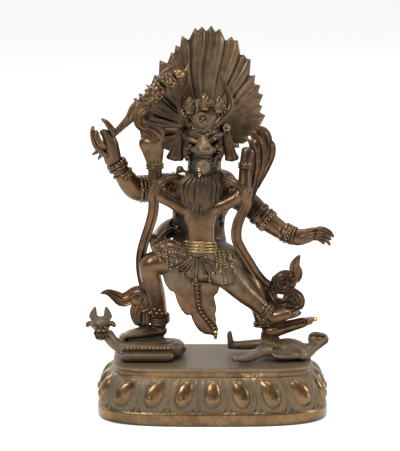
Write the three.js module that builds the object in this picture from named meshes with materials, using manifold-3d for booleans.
// A cast bronze group on a lotus plinth: a bull-headed guardian striding with a consort,
// over a horned beast and a man lying on their sides of the platform.
// Millimetres, +Z up, the front faces -Y. The origin is the middle of the plinth's underside.

import * as THREE from 'three';
import { mergeVertices } from 'three/addons/utils/BufferGeometryUtils.js';
import Module from 'manifold-3d';

const wasm = await Module();
wasm.setup();

// Driving sizes of the plinth
const PLINTH_HEIGHT = 35.2;
const FOOT_HALF_WIDTH = 72.5;
const FOOT_HALF_DEPTH = 37.5;
const FOOT_BAND_HEIGHT = 8.5;
const LOTUS_TOP = 29.5;
const LOTUS_INSET = 3;
const TOP_HALF_WIDTH = 61.5;
const PETAL_COUNT = 20;
const PETAL_RISE = 2.6;
const PETAL_ROUNDNESS = 0.7;
const PETAL_FACETS = 5;
const FOOT_SQUARENESS = 3.2;
const TOP_SQUARENESS = 5;
const DEPTH_SHARE = 0.62;

// Driving sizes of the group
const SEAT = PLINTH_HEIGHT + 0.3;
const BODY_X = -5;
const HAIR_ROOT = [-5, 15, 178];
const HAIR_SIDE_REACH = 39;
const HAIR_TOP_REACH = 66;
const HAIR_DROP = 17;
const HAIR_THICKNESS = 4.6;
const HAIR_NOTCH = 4;
const HAIR_PLEAT = 1.3;
const HAIR_LEAN = 1.5;
const HAIR_LOCKS = 24;
const HAIR_ROWS = 6;
const HAIR_TOP_POINTEDNESS = 3.6;
const HAIR_SIDE_ROUNDNESS = 0.7;

const BAND_FACETS = 8;

// Geometry to a solid that can be joined or cut, and back
function toSolid(geometry) {
  const bare = geometry.index ? geometry.toNonIndexed() : geometry.clone();
  bare.deleteAttribute('normal');
  bare.deleteAttribute('uv');
  const merged = mergeVertices(bare, 1e-4);
  return new wasm.Manifold(new wasm.Mesh({
    numProp: 3,
    vertProperties: new Float32Array(merged.attributes.position.array),
    triVerts: new Uint32Array(merged.index.array),
  }));
}

function toGeometry(solid) {
  const mesh = solid.getMesh();
  const geometry = new THREE.BufferGeometry();
  geometry.setAttribute('position', new THREE.BufferAttribute(new Float32Array(mesh.vertProperties), 3));
  geometry.setIndex(new THREE.BufferAttribute(new Uint32Array(mesh.triVerts), 1));
  geometry.computeVertexNormals();
  return geometry;
}

const join = (solids) => solids.reduce((whole, solid) => whole.add(solid));
const vector = ([x, y, z]) => new THREE.Vector3(x, y, z);

// A limb, lock or ribbon: a tube bent along its stations [x, y, z, half width, half depth].
// The half depth lies towards `face`, the half width across it.
function sweep(stations, { sides = 7, rings = 1, face = [0, -1, 0] } = {}) {
  const shape = new THREE.CylinderGeometry(1, 1, 1, sides, (stations.length - 1) * rings);
  const path = new THREE.CatmullRomCurve3(stations.map(vector), false, 'centripetal');
  const girth = new THREE.CatmullRomCurve3(
    stations.map((s) => new THREE.Vector3(s[3], s[4] ?? s[3], 0)), false, 'catmullrom', 0.3);
  const facing = vector(face);
  const place = shape.attributes.position;
  for (let i = 0; i < place.count; i += 1) {
    const t = 0.5 - place.getY(i);
    const centre = path.getPoint(t);
    const along = path.getTangent(t);
    const across = new THREE.Vector3().crossVectors(facing, along).normalize();
    const outward = new THREE.Vector3().crossVectors(along, across);
    const size = girth.getPoint(t);
    centre.addScaledVector(across, place.getX(i) * size.x);
    centre.addScaledVector(outward, place.getZ(i) * size.y);
    place.setXYZ(i, centre.x, centre.y, centre.z);
  }
  return toSolid(shape);
}

// A rounded mass: head, hip, bead or paw
function ball([x, y, z], [rx, ry, rz], { detail = 1, tilt = [0, 0, 0] } = {}) {
  const shape = new THREE.IcosahedronGeometry(1, detail);
  shape.scale(rx, ry, rz);
  shape.rotateX(tilt[0]).rotateY(tilt[1]).rotateZ(tilt[2]);
  shape.translate(x, y, z);
  return toSolid(shape);
}

// A bracelet, armlet, anklet or belt round a limb that runs along `axis`
function band(centre, axis, radius, thickness) {
  const outline = [[0, -thickness], [radius, -thickness], [radius + thickness, 0], [radius, thickness],
    [0, thickness]];
  const shape = new THREE.LatheGeometry(outline.map(([r, h]) => new THREE.Vector2(r, h)), BAND_FACETS);
  const upright = new THREE.Vector3(0, 1, 0);
  shape.applyQuaternion(new THREE.Quaternion().setFromUnitVectors(upright, vector(axis).normalize()));
  shape.translate(...centre);
  return toSolid(shape);
}

// Plan of the plinth: a rounded oblong, squarer towards the platform
function oblong(angle, halfWidth, halfDepth, squareness) {
  const c = Math.cos(angle);
  const s = Math.sin(angle);
  const share = Math.abs(c / halfWidth) ** squareness + Math.abs(s / halfDepth) ** squareness;
  const reach = share ** (-1 / squareness);
  return [c * reach, s * reach];
}

// Angles that step evenly round the edge of the plinth
function evenAngles(count) {
  const fine = 2000;
  const lengths = [0];
  let last = oblong(0, FOOT_HALF_WIDTH, FOOT_HALF_DEPTH, FOOT_SQUARENESS);
  for (let i = 1; i <= fine; i += 1) {
    const turn = (i / fine) * 2 * Math.PI;
    const here = oblong(turn, FOOT_HALF_WIDTH, FOOT_HALF_DEPTH, FOOT_SQUARENESS);
    lengths.push(lengths[i - 1] + Math.hypot(here[0] - last[0], here[1] - last[1]));
    last = here;
  }
  const angles = [];
  let at = 0;
  for (let k = 0; k < count; k += 1) {
    const wanted = (k / count) * lengths[fine];
    while (lengths[at + 1] < wanted) at += 1;
    const part = (wanted - lengths[at]) / (lengths[at + 1] - lengths[at]);
    angles.push(((at + part) / fine) * 2 * Math.PI);
  }
  return angles;
}

// The plinth is one ring of profiles: foot band, drooping petals, neck band, platform
function lotusPlinth() {
  const angles = evenAngles(PETAL_COUNT * PETAL_FACETS);
  const inset = FOOT_HALF_WIDTH - TOP_HALF_WIDTH;
  const lotusHeight = LOTUS_TOP - FOOT_BAND_HEIGHT;
  const profile = [[0, 0, 0], [FOOT_BAND_HEIGHT, 0, 0]];
  for (const step of [0.12, 0.55, 1]) {
    const swell = Math.sin(Math.PI * (0.18 + step * 0.82));
    const inward = LOTUS_INSET + (inset - LOTUS_INSET) * step ** 3;
    profile.push([FOOT_BAND_HEIGHT + lotusHeight * step, inward, Math.max(0, swell)]);
  }
  profile.push([PLINTH_HEIGHT, inset, 0]);
  const rows = profile.length;
  const points = profile.map(([height, inward]) => new THREE.Vector2(FOOT_HALF_WIDTH - inward, height));
  const outline = [new THREE.Vector2(0, 0), ...points, new THREE.Vector2(0, PLINTH_HEIGHT)];
  const shape = new THREE.LatheGeometry(outline, angles.length);
  const place = shape.attributes.position;
  const perTurn = outline.length;
  for (let i = 0; i < place.count; i += 1) {
    const row = (i % perTurn) - 1;
    const turn = Math.floor(i / perTurn) % angles.length;
    if (row < 0 || row >= rows) {
      place.setXYZ(i, 0, 0, row < 0 ? 0 : PLINTH_HEIGHT);
      continue;
    }
    const [height, inward, swell] = profile[row];
    const petal = Math.abs(Math.cos((Math.PI * turn) / PETAL_FACETS)) ** PETAL_ROUNDNESS;
    const inner = inward - swell * PETAL_RISE * petal;
    const squareness = FOOT_SQUARENESS + (TOP_SQUARENESS - FOOT_SQUARENESS) * (height / PLINTH_HEIGHT);
    const depth = FOOT_HALF_DEPTH - inner * DEPTH_SHARE;
    const [x, y] = oblong(angles[turn], FOOT_HALF_WIDTH - inner, depth, squareness);
    place.setXYZ(i, x, y, height);
  }
  return toSolid(shape);
}

// Flame hair: one flat shell, pleated into pointed locks that fan out behind the head.
// It is a sphere pressed flat: its poles are the middle of the front and of the back.
function hairFan() {
  const shape = new THREE.SphereGeometry(1, 2 * HAIR_LOCKS, HAIR_ROWS);
  const place = shape.attributes.position;
  const perRow = 2 * HAIR_LOCKS + 1;
  for (let i = 0; i < place.count; i += 1) {
    const column = i % perRow;
    const row = Math.floor(i / perRow);
    const angle = (column / (2 * HAIR_LOCKS)) * 2 * Math.PI + Math.PI / 2;
    const spread = 1 - Math.abs(row - HAIR_ROWS / 2) / (HAIR_ROWS / 2);
    const lift = Math.max(0, Math.sin(angle)) ** HAIR_TOP_POINTEDNESS;
    const drop = Math.max(0, -Math.sin(angle)) ** HAIR_SIDE_ROUNDNESS;
    const valley = column % 2;
    const tip = HAIR_SIDE_REACH + (HAIR_TOP_REACH - HAIR_SIDE_REACH) * lift - HAIR_DROP * drop;
    const reach = spread * (tip - (spread === 1 ? HAIR_NOTCH * valley : 0));
    const pleat = spread === 0 ? 0 : HAIR_PLEAT * valley;
    const depth = spread === 1 ? 0 : HAIR_THICKNESS * (1 - 0.3 * spread) - pleat;
    const thick = row < HAIR_ROWS / 2 ? -depth : depth;
    const x = HAIR_ROOT[0] + Math.cos(angle) * reach;
    const y = HAIR_ROOT[1] + thick + HAIR_LEAN * spread;
    place.setXYZ(i, x, y, HAIR_ROOT[2] + Math.sin(angle) * reach);
  }
  return toSolid(shape);
}

// The guardian's head: skull, muzzle, ears, lyre-shaped horns and a crown of three skulls
function guardianHead() {
  const parts = [
    ball([BODY_X, 4, 175], [12.5, 11, 13]),
    ball([BODY_X, -6, 166.5], [8, 8, 6.5]),
    ball([BODY_X, -2, 189], [10, 6, 7]),
  ];
  const ears = [[[-14, 4, 182, 3, 3], [-20.6, 3, 179, 2.6, 2], [-22, 1.4, 170, 4.2, 2.4],
    [-23.7, 0.8, 161, 6, 2]],
    [[4, 4, 182, 3, 3], [9.6, 3, 179, 2.6, 2], [11, 1.4, 170, 4.2, 2.4], [11.6, 0.8, 161, 5.8, 2]]];
  const horns = [[[-13, 183], [-19, 191.6], [-20, 199], [-16.6, 208], [-15, 221]],
    [[0.6, 183], [9.6, 191.6], [10.8, 199], [7.4, 208], [5.4, 215]]];
  for (const ear of ears) {
    parts.push(sweep(ear));
  }
  for (const horn of horns) {
    const stations = horn.map(([x, z], k) => [x, 2, z, 3 - 0.6 * k, 3 - 0.6 * k]);
    parts.push(sweep(stations, { sides: 5 }));
  }
  for (const [x, z] of [[-14.2, 196.6], [BODY_X, 199.8], [4.2, 197.6]]) {
    parts.push(ball([x, 4.6, z], [3.8, 10, 4.8], { detail: 0 }));
    parts.push(ball([x, -0.6, z + 5], [2.6, 2.4, 3.4], { detail: 0 }));
  }
  return parts;
}

function guardianBody() {
  return [
    sweep([[-6, 8, 92, 11, 8], [-7.4, 8, 103, 16.6, 10], [-8.8, 8.5, 116, 16.6, 10.5],
      [-8.2, 9.5, 128, 17.6, 11],
      [-4.5, 10, 140, 20.2, 10.6], [-4.5, 9.6, 147, 19.8, 8.6], [-5, 8, 151.6, 12, 8],
      [-5, 5, 160, 11, 8.5]],
    { sides: 9 }),
    // right arm, bent upward, with its armlet and bracelets
    sweep([[-12, 10, 140, 8, 7.5], [-26, 8, 143, 8.6, 7.5], [-38, 5, 142.6, 8.2, 7],
      [-46.5, 3, 141.5, 7.8, 6.2],
      [-51, 1, 145.5, 7.6, 5.8], [-55, -1, 152, 6.8, 5.2], [-59.6, -2, 159.5, 5.4, 4]]),
    band([-42, 4.2, 142.5], [1, 0.2, 0.05], 7.6, 1.6),
    band([-58.2, -1.4, 157.2], [-0.55, 0, 1], 5.8, 1.5),
    // left arm, stretched out and down
    sweep([[4, 10, 139, 8, 7.5], [14, 9.5, 137.5, 8.5, 8], [23.5, 7, 131.5, 7.8, 7],
      [31, 4, 124.4, 7.2, 6.4],
      [39, 1, 118.8, 6.4, 5.4], [47, -2, 114.8, 5.2, 4.4], [54, -3, 113, 4.4, 3.2]]),
    band([31, 4.4, 125], [1, -0.35, -0.8], 7.4, 1.6),
    band([47.6, -1.9, 114.8], [1, -0.3, -0.5], 5.6, 1.5),
  ];
}

// Right hand holds the club, left hand is open with curled fingers
function guardianHands() {
  const parts = [
    sweep([[-60.2, -2.4, 157.6, 4.6, 3.4], [-62, -3.6, 164, 5.8, 3.8], [-63.4, -4.6, 171, 6, 3.6],
      [-65.6, -5, 177.6, 4, 2.8], [-69, -5.4, 180.6, 2, 1.8]]),
    sweep([[-66, -5, 167, 2.2, 2], [-71.6, -6.2, 171.6, 2.4, 2], [-74, -6.4, 178.6, 2, 1.8],
      [-73.8, -6, 184.4, 0.7, 0.7]], { sides: 5 }),
    sweep([[-62, -5, 177, 2.2, 2], [-63.4, -6, 183.4, 2, 1.8], [-68.8, -6, 188.4, 0.7, 0.7]], { sides: 5 }),
    sweep([[50, -3, 113, 4.6, 3.4], [56, -3.2, 113.4, 5.2, 3.2], [62, -3.8, 115.4, 4.4, 2.6],
      [67, -4.4, 116.6, 3.2, 2]]),
  ];
  const fingers = [[[67, 118], [71.8, 117.2], [75.8, 113.2]], [[67, 115.6], [71.6, 114], [74.2, 110.6]],
    [[66.4, 113.6], [70.6, 111.6], [73.4, 108]], [[65, 112.4], [68, 110.8], [70, 108.6]]];
  for (const [[x0, z0], [x1, z1], [x2, z2]] of fingers) {
    const stations = [[x0 - 4, -4, z0, 1.7, 1.7], [x1, -5, z1, 1.6, 1.6], [x2, -5.5, z2, 0.8, 0.8]];
    parts.push(sweep(stations, { sides: 5 }));
  }
  return parts;
}

function guardianLegs() {
  return [
    // right leg, bent, its foot on the beast's back
    sweep([[-8, 6, 96, 11, 10], [-20, 1, 98.4, 10.5, 9.5], [-31, -4, 98, 8.8, 8.5],
      [-38.6, -6.6, 96, 6.8, 7],
      [-38.6, -5.4, 88, 6.4, 6.6], [-36, -1, 77, 6, 6.4], [-34.2, 4, 65, 5.7, 5.8], [-33, 7, 53, 5, 5]]),
    sweep([[-28, 8, 49.8, 2.4, 3.4], [-31.5, 8, 50.2, 4.4, 4.4], [-38, 7, 50.2, 4.4, 5],
      [-46, 5, 49.4, 3.8, 5.2],
      [-54, 3.4, 48.4, 2.6, 5], [-59, 2.4, 47.4, 1.4, 4]]),
    band([-33.6, 6.2, 58.4], [0.05, 0.3, -1], 5.8, 1.8),
    // left leg, straight, its foot on the lying man
    sweep([[-2, 8, 97, 11, 10], [8, 7, 93.5, 11, 10], [18, 5, 86, 10.4, 9.4], [26, 3, 77, 8.4, 8.2],
      [30.4, 3, 65, 5.4, 6], [33, 2, 54, 5, 5]]),
    sweep([[30, 1, 50.4, 2.4, 3.4], [34, 0, 50.8, 4.6, 4.6], [41, -0.8, 53, 4.8, 4.8],
      [49, -2, 55.6, 4.2, 5],
      [58, -3.2, 58.6, 3.2, 4.6], [64.8, -4, 60.6, 1.8, 3]]),
  ];
}

// The consort, seen from her back: trunk, thrown-back head, falling hair, arms and legs
function consort() {
  return [
    sweep([[-7.8, -9, 94, 11.5, 8.4], [-7.8, -10, 101.5, 12.6, 9], [-7.8, -11, 109, 10.2, 7.8],
      [-7.8, -12, 118, 8.6, 6.8], [-8, -12.3, 127, 10, 6.4], [-8, -12, 134, 12, 6],
      [-7.4, -11.5, 140, 8, 5.4],
      [-6.6, -11.5, 146, 4.4, 4.4], [-6.2, -12, 152, 4, 4]], { sides: 9 }),
    ball([-6.1, -12.5, 160], [6.8, 7, 6.8]),
    sweep([[-6.2, -17, 157, 4.4, 1.8], [-6.8, -17.6, 150, 11.4, 3], [-7.2, -17.8, 142, 12.6, 2.6],
      [-7.6, -18.2, 134.6, 9.6, 2.2], [-7.8, -18.4, 128.6, 5.6, 1.2]], { sides: 6 }),
    band([-7.9, -10.4, 108.6], [0.03, 0.2, 1], 9.8, 2.4),
    // arms: out to the elbows, then up, the left hand spread under the scarf
    sweep([[-12, -11, 131, 4.8, 4], [-18.3, -13, 133.3, 4.4, 3.6], [-25.6, -14, 138, 4.1, 3.4],
      [-32, -13.6, 142, 4.4, 3.6], [-34.8, -12, 147, 4.6, 3.6], [-35.4, -10, 155, 4.5, 3.6],
      [-36, -8.5, 162.7, 5.4, 3.8], [-36.8, -8, 169, 7, 4.4], [-37.9, -8, 175, 8, 5],
      [-37.6, -8, 179, 6, 4]],
    { sides: 6 }),
    sweep([[-3, -11, 131, 4.8, 4], [2.7, -13, 133.9, 4.4, 3.6], [10, -14, 137.4, 4.1, 3.4],
      [16.4, -13.6, 142, 4.2, 3.6], [19.4, -12, 148, 4.4, 3.4], [20, -9.8, 157, 3.9, 3.2],
      [20.6, -9, 163, 3.8, 2.8],
      [22.2, -7.8, 171, 4, 2.4]], { sides: 6 }),
    // right leg beside his, left leg round his hip
    sweep([[-5, -8, 99, 8.5, 8], [2, -10, 95.5, 9, 8.4], [11, -12, 89, 8.6, 8], [20, -13, 80, 7, 6.6],
      [28, -12, 72.6, 5.6, 5], [36, -11, 64, 4.4, 4]]),
    sweep([[34.4, -11, 61.8, 2.6, 3], [38, -11.4, 63.4, 4.6, 3.8], [45, -11.8, 65.4, 4.2, 4],
      [51, -12, 66.8, 2.8, 3.4],
      [54.6, -12.6, 67.4, 1.6, 2]]),
    band([33.4, -11.2, 68], [0.75, 0.1, -0.65], 5.2, 1.6),
    sweep([[-8, -8, 100, 8.5, 8], [-17, -10, 102.5, 8.4, 8], [-27, -12, 106.4, 7.8, 7.4],
      [-33, -8.4, 109.6, 6.2, 6],
      [-31.4, 1, 113.4, 5.8, 5.6], [-26, 13, 116.4, 5.2, 5.2], [-19, 20.6, 117, 4.2, 4.2],
      [-8, 22.6, 115, 2.8, 2.8]],
    { face: [0.3, -0.3, 1] }),
  ];
}

// The short skirt that wraps both hips and the pointed cloth hanging from it
function skirtAndCloth() {
  return [
    sweep([[-6, -1, 111, 13, 11.6], [-5.5, 0, 104, 20, 15], [-4.6, 0.5, 95, 23.4, 16.6],
      [-4.6, 1, 86, 22, 16]],
      { sides: 12 }),
    sweep([[-11.4, -6.8, 98, 20, 3.8], [-10.9, -7.4, 84.2, 17.8, 2.2], [-10.3, -7, 75.9, 12.7, 1.8],
      [-8.1, -6.8, 70.8, 11.3, 1.7], [-5.5, -6.2, 63, 7.9, 1.6], [-2.3, -5.4, 56, 6, 1.4],
      [1.2, -4.8, 51.6, 2.6, 1.2],
      [2, -4.4, 48, 0.8, 0.8]], { sides: 6 }),
  ];
}

// The club in the raised hand, and the scarf tied to it
function club() {
  return [
    sweep([[-74, -6, 165.6, 1], [-68, -4.6, 171, 1.8], [-61, -4.4, 180, 2.1], [-55, -4.2, 185.6, 2.5],
      [-47, -4, 193.6, 4.6], [-42, -4, 198.6, 5], [-36, -4, 204.2, 5.8], [-32, -4, 207.8, 4.8],
      [-26.4, -4.2, 212.4, 6],
      [-22, -4.4, 215.6, 4], [-18.4, -3.8, 217.6, 2], [-15, -2.4, 222.4, 0.5]]),
    sweep([[-41.6, -8, 196, 1.8, 1.3], [-45.6, -8.2, 190, 2.8, 1.6], [-45, -8.4, 183.4, 3.6, 1.8],
      [-39, -9.4, 180, 4.6, 2], [-33, -9.6, 177, 4.2, 2], [-32, -9, 170.4, 2.6, 1.6]], { sides: 5 }),
  ];
}

// The long scarves: loops at the shoulders, ribbons down both sides, flame-shaped ends
function scarves() {
  const options = { sides: 5 };
  return [
    sweep([[-25, -14, 152.6, 2.2, 1.6], [-32.4, -15.6, 149.6, 2.9, 1.8], [-36.6, -14.6, 142, 3.5, 1.9],
      [-36.6, -10.4, 132, 3.8, 1.8], [-38.4, -7, 122, 3.8, 1.7], [-41.8, -4.6, 113, 3.6, 1.5],
      [-45, -2.4, 100, 3.4, 1.4], [-44.4, 0.6, 88, 3.2, 1.4], [-42.4, 4, 77, 3.8, 1.5],
      [-44.4, 5, 70.4, 6.4, 1.8],
      [-47.4, 5.4, 64, 5.8, 1.8], [-46.4, 6, 53, 4, 1.5]], options),
    sweep([[-42.6, 4.4, 73, 5.4, 1.8], [-48.6, 4.8, 73.8, 5.4, 1.9], [-56.6, 5, 71, 4.8, 1.9],
      [-63.4, 4.6, 74.2, 3.4, 1.5], [-71, 4, 75.6, 0.7, 0.7]], options),
    sweep([[11.3, -14, 151, 2.2, 1.6], [17.8, -16, 146.6, 2.8, 1.8], [21, -14.6, 137.4, 3.4, 1.9],
      [17.4, -9.6, 127, 3.6, 1.8], [15.2, -6, 115, 3.8, 1.6], [18.4, -4.6, 105, 3.6, 1.5],
      [24, -3.2, 95.6, 3.4, 1.4],
      [31, 0.6, 85, 3.6, 1.4], [37, 3.6, 78, 4.6, 1.6], [43, 4, 72, 7.6, 1.8], [50.4, 4.4, 70.6, 7.6, 1.8],
      [55, 4.4, 66.6, 3.6, 1.5]], options),
    sweep([[37, 3.4, 81, 4, 1.6], [43, 3.8, 83.6, 5.8, 1.8], [50, 3.8, 85.4, 5.4, 1.9],
      [52.6, 3.8, 91, 4, 1.7],
      [55.2, 3, 100.6, 0.7, 0.7]], options),
    sweep([[36, 4.6, 66, 4, 1.6], [43, 4, 63, 4.4, 1.8], [49.6, 3.4, 62.2, 3.2, 1.6],
      [56.4, 3, 63.2, 0.7, 0.7]], options),
    // the billow behind the consort's raised hand
    sweep([[20, -10.8, 130.6, 3, 2.8], [25.4, -2.8, 146, 5.2, 2.6], [29, -2, 157, 6.8, 2.8],
      [31.2, -1.4, 168, 7, 2.6],
      [30, -1, 176, 5.6, 2.2], [26.6, -1.6, 181, 2.8, 1.6]], options),
  ];
}

// The horned beast crouched under the right foot, its head over the platform's end
function beast() {
  return [
    sweep([[-60.5, -1, 39.4, 4, 7], [-55, -1, 40.4, 5.2, 10], [-40, -1, 40.6, 5.4, 10.8],
      [-27, 0, 40.6, 5.4, 10.8],
      [-20, 2, 40, 4.6, 8], [-16.4, 3, 39, 2.4, 4]]),
    sweep([[-57, -9.6, 43.4, 1.9, 2.4], [-40, -10, 43.4, 2, 2.6],
      [-24.6, -9.6, 43.4, 1.9, 2.4]], { sides: 6 }),
    sweep([[-58, -11.4, 38.6, 2.1, 3], [-42, -12.4, 38.8, 2.3, 4],
      [-24, -11.4, 38.6, 2.1, 3]], { sides: 6 }),
    sweep([[-54, -2, 41, 5, 6], [-61, -2.4, 44, 4.6, 5.6], [-67.5, -3, 51, 5, 5.6]]),
    ball([-70.4, -3, 57.4], [7.8, 6.6, 5.4]),
    ball([-70, -6, 51], [5.4, 5, 5.6]),
    sweep([[-75, -2, 59.6, 3.2, 2.6], [-74.4, -2, 65, 1.9, 1.7],
      [-73.5, -2, 68.9, 0.6, 0.6]], { sides: 5 }),
    sweep([[-65.8, -2, 60, 3.2, 2.6], [-66.5, -2, 64.8, 1.9, 1.7],
      [-67.3, -2, 68.9, 0.6, 0.6]], { sides: 5 }),
    sweep([[-75, -1, 58, 2.2, 1.4], [-80.5, -1, 54.6, 0.9, 0.7]], { sides: 5 }),
    sweep([[-66, -1, 58, 2.2, 1.4], [-61.2, -1, 55, 0.9, 0.7]], { sides: 5 }),
  ];
}

// The man lying on his back under the left foot, one arm thrown up past his head
function lyingMan() {
  const thin = { sides: 5 };
  return [
    sweep([[33, -3, 39.6, 3.4, 6], [40, -4, 41, 5.6, 7.6], [49, -4, 41.6, 6.2, 8.6], [57, -4, 40.4, 5.2, 8],
      [62, -4, 42.4, 3, 4], [66, -3, 45, 2.6, 2.8]]),
    ball([66.4, -2, 47], [7, 5.6, 4.6]),
    // far leg, its foot upright on the heel
    sweep([[38, 4, 41, 4.4, 4.4], [30, 7, 41.4, 3.4, 3.4], [21, 8, 40.6, 3.2, 3.2],
      [12, 8, 40.2, 2.6, 2.8]], thin),
    sweep([[12, 8, 37.8, 2.2, 2.8], [11.6, 7.8, 44, 2, 2.6], [11.2, 6.8, 50, 1.4, 1.8]], thin),
    // near leg, knee raised
    sweep([[38, -9, 40.8, 4.4, 4.4], [31, -13.4, 42, 3.8, 3.6], [23.5, -17.4, 39.4, 2.9, 3],
      [14.6, -20, 38.4, 2.4, 2.7]],
      thin),
    sweep([[14, -20.6, 37.4, 1.9, 2.3], [13.8, -21, 43, 1.4, 1.7]], thin),
    // arms: one along the belly to the foot above, one along the front and up
    sweep([[56.6, -11.4, 38.8, 2, 2.4], [47, -13, 38.6, 2.1, 2.6], [39, -12, 40, 2.2, 2.4],
      [33, -7.6, 47, 2.6, 2]], thin),
    sweep([[55, -11.6, 38, 2.1, 2.5], [61, -10, 39.4, 2.2, 2.4], [68, -7, 45, 2.1, 2.1],
      [73.6, -6, 49.2, 1.3, 1.5]], thin),
    ball([37, -4, 45.6], [5.4, 6, 4.4]),
  ];
}

const figureBronze = new THREE.MeshStandardMaterial({ color: 0x5a4228, roughness: 0.42, metalness: 0.9 });
const plinthBronze = new THREE.MeshStandardMaterial({ color: 0x6b4f30, roughness: 0.45, metalness: 0.9 });

const plinth = new THREE.Mesh(toGeometry(lotusPlinth()), plinthBronze);
plinth.name = 'plinth';

// One casting; its underside is cut flat where it stands on the platform
const cast = join([hairFan(), ...guardianHead(), ...guardianBody(), ...guardianHands(), ...guardianLegs(),
  ...consort(), ...skirtAndCloth(), ...club(), ...scarves(), ...beast(), ...lyingMan()]);
const platform = new THREE.BoxGeometry(2 * FOOT_HALF_WIDTH, 2 * FOOT_HALF_DEPTH, SEAT);
platform.translate(0, 0, SEAT / 2);
const figureGroup = new THREE.Mesh(toGeometry(cast.subtract(toSolid(platform))), figureBronze);
figureGroup.name = 'figure_group';

const group = new THREE.Group();
group.add(plinth, figureGroup);

export default group;
